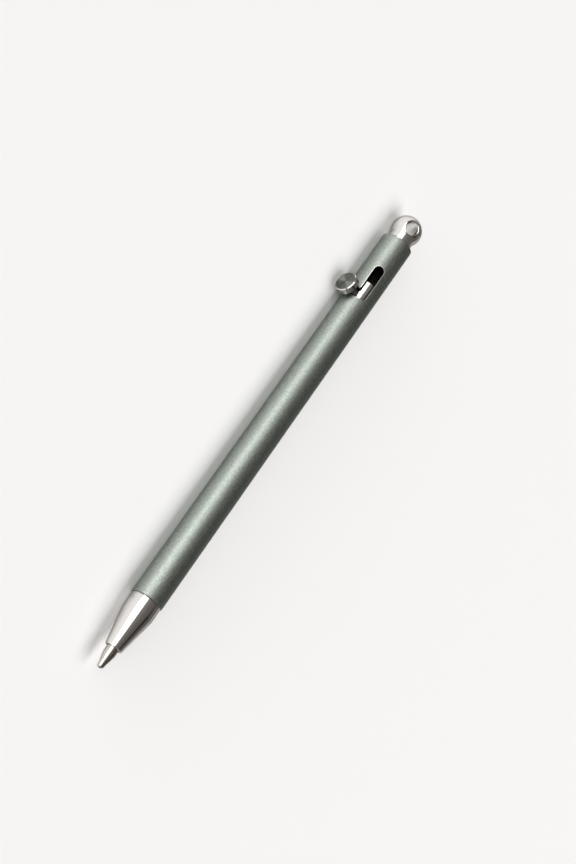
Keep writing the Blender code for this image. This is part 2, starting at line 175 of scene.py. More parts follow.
def trace(name, points):
    """Draw a line of points in the XZ plane by extruding one point, and stay in edit mode."""
    bpy.ops.object.select_all(action="DESELECT")
    bpy.ops.mesh.primitive_plane_add(size=MM, location=(0.0, 0.0, 0.0))
    piece = bpy.context.object
    piece.name = piece.data.name = name
    bpy.ops.object.mode_set(mode="EDIT")
    bpy.ops.mesh.select_mode(type="VERT")
    bpy.ops.mesh.select_all(action="SELECT")
    bpy.ops.mesh.merge(type="CENTER")
    last = Vector((0.0, 0.0, 0.0))
    for number, (x, z) in enumerate(points):
        target = Vector((x, 0.0, z))
        if number == 0:
            bpy.ops.transform.translate(value=target - last)
        else:
            bpy.ops.mesh.extrude_vertices_move(TRANSFORM_OT_translate={"value": target - last})
        last = target
    return piece


def turn_piece(name, outline, sides, ring=False):
    """Spin an outline of (x, radius) points round X. A ring's outline is closed on itself."""
    piece = trace(name, outline + outline[:1] if ring else outline)
    bpy.ops.mesh.select_all(action="SELECT")
    if ring:
        bpy.ops.mesh.remove_doubles(threshold=WELD)
    bpy.ops.mesh.spin(steps=sides, angle=math.tau, center=(0.0, 0.0, 0.0), axis=(1.0, 0.0, 0.0))
    return close_up(piece)


def arc(centre, radius, start, end, steps):
    """Points of an arc, from one angle in degrees to another."""
    x, z = centre
    turns = [math.radians(start + (end - start) * step / steps) for step in range(steps + 1)]
    return [(x + radius * math.cos(turn), z + radius * math.sin(turn)) for turn in turns]


def lay_along(piece, turn=0.0):
    """Move a piece that was made round X onto the pen's axis, turned by an angle round it."""
    piece.location = (0.0, axis_y, axis_z)
    piece.rotation_euler = (turn, 0.0, 0.0)
    settle(piece)


# %% [markdown]
# ## Turning marks
#
# A lathe leaves fine rings, and light streaks across them. To draw them, a piece needs to know
# which way is round and which way is along. A UV map can say that: U is the angle round the
# piece's own axis, and V is the way along its surface in millimetres.

# %% Map the way round and the way along


def map_turning(piece, origin, axis):
    """Write a UV map with the turn round an axis as U, and distance along and away from it as V."""
    axis = axis.normalized()
    side = axis.orthogonal().normalized()
    other = axis.cross(side)
    layer = piece.data.uv_layers.new(name="turning")
    for face in piece.data.polygons:
        middle = face.center - origin
        home = math.atan2(middle.dot(other), middle.dot(side)) / math.tau
        for corner in face.loop_indices:
            arm = piece.data.vertices[piece.data.loops[corner].vertex_index].co - origin
            out = arm - axis * arm.dot(axis)
            turn = math.atan2(out.dot(other), out.dot(side)) / math.tau if out.length > WELD else home
            turn += round(home - turn)
            layer.data[corner].uv = (turn, (out.length + arm.dot(axis)) / MM)


# %% [markdown]
# ## Colours and nodes
#
# Colours are picked as sRGB hex values and turned to linear ones by one function. One small
# function adds a node with its settings and its links. The others build what several finishes
# share: a blend of two colours by a pattern, and the rings that a lathe leaves. A noise seldom
# leaves the range from 0.3 to 0.7, so that range is stretched over what it drives.

# %% Colour and node helpers
NOISE_LOW = 0.3
NOISE_HIGH = 0.7


def colour(hex_value):
    """Turn a display colour such as 'A5ABA3' into the linear colour that a shader takes."""
    channels = (int(hex_value[start:start + 2], 16) / 255.0 for start in (0, 2, 4))
    linear = (v / 12.92 if v <= 0.04045 else ((v + 0.055) / 1.055) ** 2.4 for v in channels)
    return (*linear, 1.0)


def add(material, kind, settings=None, **sockets):
    """Add a node, set its properties, and fill its sockets with values or with links.

    A socket is called by its name, or by its number, as in _6, where several share a name.
    """
    tree = material.node_tree
    node = tree.nodes.new(kind)
    for name, value in (settings or {}).items():
        setattr(node, name, value)
    for name, value in sockets.items():
        place = int(name[1:]) if name[0] == "_" else name.replace("_", " ")
        if isinstance(value, bpy.types.NodeSocket):
            tree.links.new(value, node.inputs[place])
        else:
            node.inputs[place].default_value = value
    return node


def wire_up(shader, **outputs):
    """Link each output to the shader's socket of that name."""
    for name, output in outputs.items():
        shader.id_data.links.new(output, shader.inputs[name.replace("_", " ")])


def new_finish(name, base, metallic, roughness):
    """Start a material, and return it with its shader."""
    material = bpy.data.materials.new(name)
    material.use_nodes = True
    shader = material.node_tree.nodes["Principled BSDF"]
    shader.inputs["Base Color"].default_value = colour(base)
    shader.inputs["Metallic"].default_value = metallic
    shader.inputs["Roughness"].default_value = roughness
    material.diffuse_color = colour(base)
    return material, shader


def two_tones(material, pattern, first, second, low=NOISE_LOW, high=NOISE_HIGH, share=1.0):
    """Blend from one colour to another, up to a share, while a pattern rises from low to high."""
    blend = add(material, "ShaderNodeMapRange", Value=pattern, From_Min=low, From_Max=high,
                To_Max=share).outputs["Result"]
    mix = add(material, "ShaderNodeMix", {"data_type": "RGBA"}, _0=blend, _6=first, _7=second)
    return mix.outputs[2]


def lathe_rings(material, width, **details):
    """A noise that only changes along a piece's turning map, in rings of about a width."""
    mapped = add(material, "ShaderNodeUVMap", {"uv_map": "turning"}).outputs["UV"]
    way = add(material, "ShaderNodeSeparateXYZ", Vector=mapped).outputs["Y"]
    return add(material, "ShaderNodeTexNoise", {"noise_dimensions": "1D"}, W=way, Scale=MM / width,
               **details).outputs["Fac"]


# %% [markdown]
# ## Bead-blasted titanium
#
# The barrel is titanium, blasted with fine glass beads. Each bead leaves a dimple of a few
# hundredths of a millimetre, which spreads the light into a soft, even sheen. That is a metal with
# a fairly high roughness and a fine bump. The cells of a Voronoi texture are round hollows side by
# side, as the dimples are. Real ones of 0.05 mm can't be seen at this distance, so they are drawn at
# 0.28 mm, just coarse enough to break up the highlight.

# %% Make bead-blasted titanium


def make_blasted_titanium():
    """Titanium with the dimples of the glass beads, fine specks and large faint clouds."""
    dimple_width = 0.28 * MM
    dimple_depth = 0.022 * MM
    speck_width = 0.35 * MM
    cloud_width = 6.0 * MM
    material, shader = new_finish("bead_blasted_titanium", "9CA39C", metallic=1.0, roughness=0.5)
    shader.inputs["Specular Tint"].default_value = colour("B8B8B8")
    where = add(material, "ShaderNodeTexCoord").outputs["Object"]
    dimples = add(material, "ShaderNodeTexVoronoi", Vector=where,
                  Scale=1.0 / dimple_width).outputs["Distance"]
    specks = add(material, "ShaderNodeTexNoise", Vector=where, Scale=1.0 / speck_width,
                 Detail=2.0, Roughness=0.7).outputs["Fac"]
    clouds = add(material, "ShaderNodeTexNoise", Vector=where, Scale=1.0 / cloud_width,
                 Detail=3.0).outputs["Fac"]
    tone = two_tones(material, specks, colour("8B928B"), colour("B1B8B1"))
    cloudy = two_tones(material, clouds, tone, colour("959C95"), share=0.25)
    gloss = add(material, "ShaderNodeMapRange", Value=specks, From_Min=NOISE_LOW,
                From_Max=NOISE_HIGH, To_Min=0.46, To_Max=0.54).outputs["Result"]
    bump = add(material, "ShaderNodeBump", Strength=0.6, Distance=dimple_depth,
               Height=dimples).outputs["Normal"]
    wire_up(shader, Base_Color=cloudy, Roughness=gloss, Normal=bump)
    return material


blasted_titanium = make_blasted_titanium()
print("made", blasted_titanium.name)

# %% [markdown]
# ## Polished titanium
#
# The nose and the end cap are turned and then polished on a wheel. The metal mirrors its
# surroundings, a little softer and darker than chrome. Faint rings of the lathe are left under the
# polish, and handling leaves patches that are slightly duller. The rings are a noise that only
# changes along the piece, at 0.3 mm, where the real ones are finer than can be seen. The plunger is
# ground to size, and the slot's rim is only deburred, so both are duller. Titanium dims where it is
# seen almost edge on. Specular Tint does that, and draws a thin dark outline round these parts.

# %% Make polished titanium


def make_polished_titanium(name, base, roughness, ring_width, ring_strength):
    """Titanium with a polish over faint rings of the lathe."""
    ring_depth = 0.004 * MM
    touch_width = 2.5 * MM
    material, shader = new_finish(name, base, metallic=1.0, roughness=roughness)
    shader.inputs["Specular Tint"].default_value = colour("8E8C8A")
    where = add(material, "ShaderNodeTexCoord").outputs["Object"]
    rings = lathe_rings(material, ring_width)
    touch = add(material, "ShaderNodeTexNoise", Vector=where, Scale=1.0 / touch_width,
                Detail=4.0, Roughness=0.65).outputs["Fac"]
    dimmer = tuple(0.96 * v for v in colour(base)[:3]) + (1.0,)
    tone = two_tones(material, rings, colour(base), dimmer)
    gloss = add(material, "ShaderNodeMapRange", Value=touch, From_Min=0.35, From_Max=0.7,
                To_Min=0.7 * roughness, To_Max=1.7 * roughness).outputs["Result"]
    bump = add(material, "ShaderNodeBump", Strength=ring_strength, Distance=ring_depth,
               Height=rings).outputs["Normal"]
    wire_up(shader, Base_Color=tone, Roughness=gloss, Normal=bump)
    return material


polished_titanium = make_polished_titanium(
    "wheel_polished_titanium", "F0EEEB", roughness=0.07, ring_width=0.3 * MM, ring_strength=0.08)
ground_titanium = make_polished_titanium(
    "ground_titanium", "DCDAD6", roughness=0.16, ring_width=0.3 * MM, ring_strength=0.05)
deburred_edge = make_polished_titanium(
    "deburred_titanium_edge", "E0E0DC", roughness=0.2, ring_width=0.4 * MM, ring_strength=0.1)
print("made", polished_titanium.name, ground_titanium.name, deburred_edge.name)

# %% [markdown]
# ## Bored titanium, darkened with painted shade
#
# Inside, the barrel isn't blasted. The boring bar and the end mill leave a rough wall with coarse
# rings. Little light gets in there, so the wall gets a dark colour, which is painted shade and not the
# metal's own colour. It needs no more than that and the rings, since only a strip of it can be seen in
# the slot.

# %% Make the bore's finish, whose dark colour is painted shade


def make_bore_finish_with_painted_shade():
    """Titanium with the rings of a boring bar, in a dark colour that is painted shade."""
    ring_width = 0.15 * MM
    ring_depth = 0.01 * MM
    # The dark base and both ring tones are painted shade for the inside of the slot and the bores.
    material, shader = new_finish("bore_finish_painted_shade", "3A3B38", metallic=1.0, roughness=0.55)
    rings = lathe_rings(material, ring_width)
    tone = two_tones(material, rings, colour("30312F"), colour("444542"))
    bump = add(material, "ShaderNodeBump", Strength=0.5, Distance=ring_depth,
               Height=rings).outputs["Normal"]
    wire_up(shader, Base_Color=tone, Normal=bump)
    return material


bore_finish_painted_shade = make_bore_finish_with_painted_shade()
print("made", bore_finish_painted_shade.name)

# %% [markdown]
# ## Face-turned titanium, with a painted dark reflection
#
# The knob's face still has the rings of the turning tool, a fraction of a millimetre apart. Each ring
# mirrors light only across itself, so a lamp draws a bow tie of light on the face. An anisotropic
# shader does that when its tangent runs round the knob, and a bump adds the rings. The face's colour is
# made much darker than the other titanium. That darkness is a painted dark reflection of dark things
# near the knob.

# %% Make face-turned titanium, darkened by a painted reflection


def make_turned_titanium_painted_dark():
    """Titanium with the fine rings of a turning tool, which mirror light across themselves, darkened as
    a painted dark reflection.
    """
    ring_width = 0.12 * MM
    ring_depth = 0.006 * MM
    # The dark base and the ring tones are a painted dark reflection, not titanium's own colour.
    material, shader = new_finish("face_turned_titanium_painted_dark", "7C7F79", metallic=1.0, roughness=0.5)
    shader.inputs["Anisotropic"].default_value = 0.95
    shader.inputs["Anisotropic Rotation"].default_value = 0.25
    rings = lathe_rings(material, ring_width, Detail=3.0, Roughness=0.7)
    tone = two_tones(material, rings, colour("60635E"), colour("999C96"))
    gloss = add(material, "ShaderNodeMapRange", Value=rings, From_Min=NOISE_LOW,
                From_Max=NOISE_HIGH, To_Min=0.42, To_Max=0.58).outputs["Result"]
    bump = add(material, "ShaderNodeBump", Strength=0.5, Distance=ring_depth,
               Height=rings).outputs["Normal"]
    tangent = add(material, "ShaderNodeTangent",
                  {"direction_type": "UV_MAP", "uv_map": "turning"}).outputs["Tangent"]
    wire_up(shader, Base_Color=tone, Roughness=gloss, Normal=bump, Tangent=tangent)
    return material


turned_titanium_painted_dark = make_turned_titanium_painted_dark()
print("made", turned_titanium_painted_dark.name)

# %% [markdown]
# ## Refill, spring, seal and ink
#
# The refill is nickel silver, a copper alloy with a warm grey gleam. The ball in its tip is sintered
# tungsten carbide, dark and hard. The spring is drawn steel wire, slightly uneven in its gloss. The
# seal is nitrile rubber, matt and slightly dusty. The ink is a thick glossy paste. These pieces are
# small or hidden, so one fine noise sets the tone and the bump of each, and the gloss of the metals.

# %% Make the finishes of the inner parts


def make_metal(name, base, dull, roughness, grain_width, grain_depth):
    """A plain metal with fine grain, slightly uneven in gloss and tone."""
    material, shader = new_finish(name, base, metallic=1.0, roughness=roughness)
    shader.inputs["Specular Tint"].default_value = colour("8E8C8A")
    where = add(material, "ShaderNodeTexCoord").outputs["Object"]
    grain = add(material, "ShaderNodeTexNoise", Vector=where, Scale=1.0 / grain_width,
                Detail=3.0).outputs["Fac"]
    tone = two_tones(material, grain, colour(base), colour(dull))
    gloss = add(material, "ShaderNodeMapRange", Value=grain, From_Min=NOISE_LOW,
                From_Max=NOISE_HIGH, To_Min=0.8 * roughness, To_Max=1.3 * roughness).outputs["Result"]
    bump = add(material, "ShaderNodeBump", Strength=0.3, Distance=grain_depth,
               Height=grain).outputs["Normal"]
    wire_up(shader, Base_Color=tone, Roughness=gloss, Normal=bump)
    return material


def make_soft(name, base, worn, roughness, grain_width, grain_depth):
    """Rubber or paste: no metal, a fine grain, and a paler tone where it is worn or thin."""
    material, shader = new_finish(name, base, metallic=0.0, roughness=roughness)
    where = add(material, "ShaderNodeTexCoord").outputs["Object"]
    grain = add(material, "ShaderNodeTexNoise", Vector=where, Scale=1.0 / grain_width,
                Detail=4.0).outputs["Fac"]
    tone = two_tones(material, grain, colour(base), colour(worn), low=0.45, high=0.75)
    bump = add(material, "ShaderNodeBump", Strength=0.4, Distance=grain_depth,
               Height=grain).outputs["Normal"]
    wire_up(shader, Base_Color=tone, Normal=bump)
    return material


nickel_silver = make_metal("polished_nickel_silver", "DCD7CF", "D0CAC0", roughness=0.1,
                           grain_width=0.8 * MM, grain_depth=0.003 * MM)
tungsten_carbide = make_metal("polished_tungsten_carbide", "6B6C70", "5A5B5F", roughness=0.12,
                              grain_width=0.1 * MM, grain_depth=0.002 * MM)
spring_wire = make_metal("drawn_steel_spring_wire", "9A9C9E", "85878A", roughness=0.25,
                         grain_width=0.15 * MM, grain_depth=0.004 * MM)
seal_rubber = make_soft("matt_nitrile_rubber", "1B1B1B", "2A2A29", roughness=0.65,
                        grain_width=0.12 * MM, grain_depth=0.006 * MM)
ink_paste = make_soft("blue_black_ink_paste", "10132A", "171B38", roughness=0.25,
                      grain_width=0.9 * MM, grain_depth=0.004 * MM)
print("made", nickel_silver.name, tungsten_carbide.name, spring_wire.name)
print("made", seal_rubber.name, ink_paste.name)

# %% [markdown]
# ## Dressing a piece
#
# A finished piece gets the map of its turning marks and is attached to the moving body that it rides
# on, and the CAD node that it stands for is hidden. The spring and the ink are also shaded smooth here.
# The others get their shading before, but for the writing ball, which is so small that its facets never
# show.

# %% Finish a piece


def dress(piece, body, node, origin=None, axis=Vector((1.0, 0.0, 0.0)), smooth=None):
    """Map a piece's turning marks, attach it to its body, and hide its CAD node."""
    map_turning(piece, origin or Vector((0.0, axis_y, axis_z)), axis)
    if smooth:
        pick(piece)
        bpy.ops.object.shade_smooth_by_angle(angle=math.radians(smooth))
    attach(piece, body)
    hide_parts(node)
    bpy.ops.object.select_all(action="DESELECT")
    size = [round(v / MM, 2) for v in piece.dimensions]
    print(piece.name, "faces", len(piece.data.polygons), "size mm", size)


# %% [markdown]
# ## The barrel
#
# The barrel is a tube of 6 mm, bored wide behind for the plunger, narrow in the middle for the
# refill, and wide in front for the nose. Both rims have a small chamfer. The tube is turned, and
# then the L-shaped slot is milled. A flat facet of the tube lies under the long run of the slot,
# so that the slot's straight sides keep clear of the facets' edges, and two rings of edges fence the
# slot off, so that the long facets in front of it and behind it stay whole.

# %% Turn the tube
TUBE_SIDES = 128
plunger_wall = 0.8 * MM
nose_wall = 0.7 * MM
refill_bore = 1.35 * MM
spring_gap = 0.03 * MM
socket_room = 0.4 * MM
rim_chamfer = 0.12 * MM
bore_chamfer = 0.08 * MM
socket_chamfer = 0.1 * MM
slot_half = 0.95 * MM
fence = 0.7 * MM
rear_bore = barrel_radius - plunger_wall
nose_socket = barrel_radius - nose_wall
spring_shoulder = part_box("return_spring")[1].x + spring_gap
socket_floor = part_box("nose_cone")[0].x - socket_room

barrel_outline = [
    (rear_rim, rear_bore + bore_chamfer),
    (rear_rim + bore_chamfer, rear_bore),
    (spring_shoulder, rear_bore),
    (spring_shoulder, refill_bore),
    (socket_floor, refill_bore),
    (socket_floor, nose_socket),
    (front_rim - socket_chamfer, nose_socket),
    (front_rim, nose_socket + socket_chamfer),
    (front_rim, barrel_radius - rim_chamfer),
    (front_rim - rim_chamfer, barrel_radius),
    (notch_x + slot_half + fence, barrel_radius),
    (notch_x - bolt_travel - slot_half - fence, barrel_radius),
    (rear_rim + rim_chamfer, barrel_radius),
    (rear_rim, barrel_radius - rim_chamfer),
]
barrel = turn_piece("barrel_tube", barrel_outline, TUBE_SIDES, ring=True)
lay_along(barrel, slot_angle + math.pi / TUBE_SIDES)
print("turned the tube:", len(barrel.data.polygons), "faces")

# %% [markdown]
# ## The bolt slot
#
# On the real pen an end mill of 1.9 mm cuts the slot: a long run towards the rear, a short cross
# slot round the barrel, and the notch in which the stem rests. Here four cutting tools do it, one
# for each stroke and one that rounds the corner of the land. Each is drawn flat, extruded or spun,
# and turned to its angle round the axis.

# %% Cutting tools for the slot
QUARTER_TURN = math.pi / 2.0
MILL_SIDES = 48
CROSS_STEPS = 24
overshoot = 1.0 * MM
tool_height = barrel_radius + overshoot
land_radius = 0.4 * MM
land_proud = 0.02 * MM


def make_mill_stroke(name, front, travel, turn):
    """A round punch, drawn out towards the rear by a travel."""
    bpy.ops.object.select_all(action="DESELECT")
    bpy.ops.mesh.primitive_circle_add(
        vertices=MILL_SIDES, radius=slot_half / math.cos(math.pi / MILL_SIDES), fill_type="NGON",
        location=(front, 0.0, 0.0), rotation=(0.0, 0.0, math.pi / MILL_SIDES))
    tool = bpy.context.object
    tool.name = name
    settle(tool)
    mesh = edit(tool)
    choose(tool, mesh.verts, lambda vert: vert.co.x < front)
    bpy.ops.transform.translate(value=(-travel, 0.0, 0.0))
    bpy.ops.mesh.select_all(action="SELECT")
    bpy.ops.mesh.extrude_region_move(TRANSFORM_OT_translate={"value": (0.0, 0.0, tool_height)})
    close_up(tool)
    lay_along(tool, turn)
    return tool


def make_cross_stroke():
    """A wedge swept round the axis, from the long run to the notch."""
    corners = [(notch_x - slot_half, 0.0), (notch_x + slot_half, 0.0),
               (notch_x + slot_half, tool_height), (notch_x - slot_half, tool_height)]
    tool = trace("cross_stroke", corners)
    bpy.ops.mesh.select_all(action="SELECT")
    bpy.ops.mesh.edge_face_add()
    bpy.ops.mesh.spin(steps=CROSS_STEPS, angle=-bolt_turn, center=(0.0, 0.0, 0.0),
                      axis=(1.0, 0.0, 0.0))
    close_up(tool)
    lay_along(tool, slot_angle)
    return tool


def make_land_corner():
    """A small block with a hollow quarter circle, which rounds the corner of the land."""
    corner_x, corner_y = notch_x - slot_half, -slot_half
    middle = (corner_x - land_radius + land_proud, corner_y - land_radius + land_proud)
    hollow = arc(middle, land_radius, 90.0, 0.0, steps=10)
    beyond = [(corner_x + slot_half, middle[1]), (corner_x + slot_half, corner_y + slot_half),
              (middle[0], corner_y + slot_half)]
    tool = trace("land_corner", hollow + beyond)
    bpy.ops.mesh.select_all(action="SELECT")
    bpy.ops.mesh.edge_face_add()
    bpy.ops.mesh.extrude_region_move(TRANSFORM_OT_translate={"value": (0.0, -tool_height, 0.0)})
    close_up(tool)
    tool.rotation_euler = (-QUARTER_TURN, 0.0, 0.0)
    settle(tool)
    lay_along(tool, slot_angle)
    return tool


# %% Mill the slot


def cut_out(piece, tool):
    """Take a cutting tool's shape out of a piece with a Boolean, and delete the tool."""
    modifier = piece.modifiers.new("cut", "BOOLEAN")
    modifier.operation = "DIFFERENCE"
    modifier.solver = "EXACT"
    modifier.object = tool
    pick(piece)
    bpy.ops.object.modifier_apply(modifier=modifier.name)
    bpy.data.objects.remove(tool, do_unlink=True)


def copy_of(piece):
    """A copy with its own mesh."""
    twin = piece.copy()
    twin.data = piece.data.copy()
    bpy.context.collection.objects.link(twin)
    return twin


clean_tube = copy_of(barrel)
cut_out(barrel, make_mill_stroke("notch_stroke", notch_x, 0.0, knob_angle))
cut_out(barrel, make_mill_stroke("run_stroke", notch_x, bolt_travel, slot_angle))
cut_out(barrel, make_cross_stroke())
cut_out(barrel, make_land_corner())
print("milled the slot:", len(barrel.data.polygons), "faces")

# %% [markdown]
# ## Barrel finish
#
# A deburring tool breaks the sharp rim of the slot, which then shows as a thin bright line. The edges
# where the outer skin meets the slot's walls are picked by their radius and their angle, and bevelled.
# The slot's walls and the bores get the dark bore finish, whose darkness is painted shade. The cuts
# left long faces on the skin, whose shading would show the cut. So the normals of an uncut copy of the
# tube are carried over to the skin.

# %% Helpers for shading and for painting faces


def even_normals(piece, smooth=30.0):
    """Smooth shading with crisp edges, in which the large faces keep their own direction."""
    pick(piece)
    bpy.ops.object.shade_smooth_by_angle(angle=math.radians(smooth))
    modifier = piece.modifiers.new("even", "WEIGHTED_NORMAL")
    modifier.keep_sharp = True
    bpy.ops.object.modifier_apply(modifier=modifier.name)


def borrow_normals(piece, clean, wanted):
    """Carry the shading of an uncut copy over to the vertices that pass a test."""
    skin = piece.vertex_groups.new(name="skin")
    skin.add([vert.index for vert in piece.data.vertices if wanted(vert.co)], 1.0, "REPLACE")
    modifier = piece.modifiers.new("borrow", "DATA_TRANSFER")
    modifier.object = clean
    modifier.use_loop_data = True
    modifier.data_types_loops = {"CUSTOM_NORMAL"}
    modifier.loop_mapping = "POLYINTERP_NEAREST"
    modifier.vertex_group = skin.name
    pick(piece)
    bpy.ops.object.modifier_apply(modifier=modifier.name)
    piece.vertex_groups.clear()
    bpy.data.objects.remove(clean, do_unlink=True)


def paint(piece, finish, wanted):
    """Give the faces that pass a test one of the piece's finishes, and say how many they are."""
    mesh = edit(piece, "FACE")
    count = choose(piece, mesh.faces, wanted)
    piece.active_material_index = piece.data.materials.find(finish.name)
    bpy.ops.object.material_slot_assign()
    bpy.ops.object.mode_set(mode="OBJECT")
    return count


# %% Tell the skin, the cuts and the slot's rim apart
skin_depth = 0.006 * MM
rim_zone = 1.0 * MM
sharp_angle = 0.6
skin_facing = 0.6
bore_facing = -0.5


def reach(point):
    """Distance of a point from the pen's axis."""
    return math.hypot(point.y - axis_y, point.z - axis_z)


def between_rims(point):
    """True away from the barrel's two rims."""
    return rear_rim + rim_zone < point.x < front_rim - rim_zone


def on_skin(point):
    """True on the barrel's outer skin, away from its two rims."""
    return reach(point) > barrel_radius - skin_depth and between_rims(point)


def is_cut(face):
    """True for the bores, their steps and the slot's walls, but not for the skin and the rims."""
    middle = face.calc_center_median()
    outward = Vector((0.0, middle.y - axis_y, middle.z - axis_z)).normalized().dot(face.normal)
    return outward < (skin_facing if between_rims(middle) else bore_facing)


def is_slot_rim(edge):
    """True for the sharp edges in which the skin meets the slot's walls."""
    return (len(edge.link_faces) == 2 and all(on_skin(vert.co) for vert in edge.verts)
            and edge.calc_face_angle() > sharp_angle)


# %% Break the slot's rim and dress the barrel
slot_break = 0.11 * MM
for finish in (blasted_titanium, deburred_edge, bore_finish_painted_shade):
    barrel.data.materials.append(finish)
# The bores and the slot's walls get the dark finish, which is painted shade.
painted_shade_faces = paint(barrel, bore_finish_painted_shade, is_cut)
mesh = edit(barrel, "EDGE")
rim = choose(barrel, mesh.edges, is_slot_rim)
bpy.ops.mesh.bevel(offset=slot_break, segments=3, profile=0.5, affect="EDGES",
                   material=barrel.data.materials.find(deburred_edge.name), loop_slide=False)
bpy.ops.object.mode_set(mode="OBJECT")
even_normals(barrel)
even_normals(clean_tube)
borrow_normals(barrel, clean_tube, on_skin)
dress(barrel, "barrel", "barrel")
print("bevelled", rim, "rim edges, and", painted_shade_faces, "faces of the bores and the slot are dark")

# %% [markdown]
# ## Threads
#
# The nose and the end cap are screwed into the barrel by fine threads of half a millimetre. On the
# lathe, a V-shaped tool cuts them from the free end of the shank up to a small groove, where it
# comes out. A V is drawn here too, wound round the axis by a Screw modifier, and taken out of the
# shank. A bump could only paint a thread, and a nose that is taken off should have a real one.

# %% Wind an outline round the axis


def wind(piece, pitch, turns, steps):
    """Sweep a closed outline round X and forwards at once with a Screw modifier, and cap both ends."""
    screw = piece.modifiers.new("wind", "SCREW")
    screw.axis = "X"
    screw.angle = math.tau
    screw.screw_offset = pitch
    screw.iterations = turns
    screw.steps = screw.render_steps = steps
    pick(piece)
    bpy.ops.object.modifier_apply(modifier=screw.name)
    edit(piece, "EDGE")
    bpy.ops.mesh.select_non_manifold(extend=False)
    bpy.ops.mesh.edge_face_add()
    return close_up(piece)


# %% A tool that cuts threads
THREAD_STEPS = 48
thread_pitch = 0.5 * MM
thread_depth = 0.27 * MM
thread_tip = 0.05 * MM
thread_proud = 0.02 * MM
thread_slant = math.radians(30.0)
thread_gap = 0.05 * MM
thread_chamfer = 0.3 * MM
relief_half = 0.3 * MM
relief_wall = 0.05 * MM
relief_slope = 0.2 * MM


def relief_groove(x, radius, way):
    """The section of a groove where a thread runs out. Way is 1 or -1, towards the thread."""
    bottom = radius - thread_depth - thread_proud
    return [(x - way * (relief_half + relief_wall), radius), (x - way * relief_half, bottom),
            (x + way * relief_half, bottom), (x + way * (relief_half + relief_slope), radius)]


def cut_thread(piece, groove_x, free_end, radius):
    """Cut a right-hand thread into a shank of some radius, from its free end up to a groove."""
    turns = math.ceil(abs(free_end - groove_x) / thread_pitch) + 1
    start = groove_x if free_end > groove_x else groove_x - turns * thread_pitch
    half = thread_tip + (thread_depth + thread_proud) * math.tan(thread_slant)
    section = [(start - half, radius + thread_proud), (start - thread_tip, radius - thread_depth),
               (start + thread_tip, radius - thread_depth), (start + half, radius + thread_proud)]
    tool = trace("thread_tool", section + section[:1])
    bpy.ops.mesh.select_all(action="SELECT")
    bpy.ops.mesh.remove_doubles(threshold=WELD)
    bpy.ops.object.mode_set(mode="OBJECT")
    wind(tool, thread_pitch, turns, THREAD_STEPS)
    lay_along(tool)
    cut_out(piece, tool)
    print(piece.name, "has a thread of", turns, "turns and", len(piece.data.polygons), "faces")


# %% [markdown]
# ## The nose
#
# The nose is one turned piece: a short cylinder, a cone, a threaded shank inside the barrel, and a
# groove for a sealing ring. The break between cylinder and cone is softened by the polish, and the
# front edge is rounded. Its section is drawn as one closed line, so that one spin makes the outside
# and the bore together, and the thread is cut afterwards.

# %% Turn the nose
nose_step = 0.18 * MM
nose_cylinder = 2.7 * MM
seal_to_groove = 0.95 * MM
nose_bore = 1.245 * MM
front_wall = 0.33 * MM
front_edge = 0.1 * MM
mouth_break = 0.04 * MM
cone_soft = 0.1 * MM
seat_gap = 0.03 * MM
shoulder_break = 0.06 * MM
seal_groove_half = 0.35 * MM
seal_groove_floor = 1.62 * MM
nose_back, nose_front = (corner.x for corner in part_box("nose_cone"))
nose_radius = barrel_radius - nose_step
nose_break = front_rim + nose_cylinder
front_radius = nose_bore + front_wall
shank_radius = nose_socket - thread_gap
seal_x = sum(corner.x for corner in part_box("nose_o_ring")) / 2.0
nose_groove = seal_x - seal_to_groove
cone_slope = (nose_radius - front_radius) / (nose_front - nose_break)


def nose_profile():
    """Half of the nose's section, from the front bore round the outside to the rear bore."""
    return [
        (nose_front, nose_bore + mouth_break),
        (nose_front, front_radius - front_edge),
        (nose_front - 0.3 * front_edge, front_radius - 0.35 * front_edge),
        (nose_front - front_edge, front_radius + front_edge * cone_slope),
        (nose_break + cone_soft, nose_radius - cone_soft * cone_slope),
        (nose_break + 0.3 * cone_soft, nose_radius - 0.35 * cone_soft * cone_slope),
        (nose_break - 0.4 * cone_soft, nose_radius),
        (front_rim + seat_gap + shoulder_break, nose_radius),
        (front_rim + seat_gap, nose_radius - shoulder_break),
        (front_rim + seat_gap, shank_radius),
        (seal_x + seal_groove_half, shank_radius),
        (seal_x + seal_groove_half, seal_groove_floor),
        (seal_x - seal_groove_half, seal_groove_floor),
        (seal_x - seal_groove_half, shank_radius),
    ] + relief_groove(nose_groove, shank_radius, -1.0) + [
        (nose_back + thread_chamfer, shank_radius),
        (nose_back, shank_radius - thread_chamfer),
        (nose_back, nose_bore),
        (nose_front - mouth_break, nose_bore),
    ]


nose = turn_piece("nose_cone_polished", nose_profile(), TUBE_SIDES, ring=True)
lay_along(nose)
cut_thread(nose, nose_groove, nose_back, shank_radius)
nose.data.materials.append(polished_titanium)
even_normals(nose)
dress(nose, "nose", "nose_cone")

# %% [markdown]
# ## The sealing ring
#
# A rubber ring sits in the nose's groove and keeps the thread from working loose. It is moulded in
# two halves, so a faint ridge of flash runs round it, inside and outside. Two half circles are
# drawn with the ridges between them, and spun.

# %% Spin the sealing ring
seal_half = 0.3 * MM
seal_mean = 1.95 * MM
flash = 0.015 * MM
flash_half = 5.0


def seal_profile():
    """A round section with a small ridge of flash on its inner and its outer side."""
    middle = (seal_x, seal_mean)
    rear_half = arc(middle, seal_half, 90.0 + flash_half, 270.0 - flash_half, steps=12)
    front_half = arc(middle, seal_half, 270.0 + flash_half, 450.0 - flash_half, steps=12)
    inner_ridge = (seal_x, seal_mean - seal_half - flash)
    outer_ridge = (seal_x, seal_mean + seal_half + flash)
    return rear_half + [inner_ridge] + front_half + [outer_ridge]


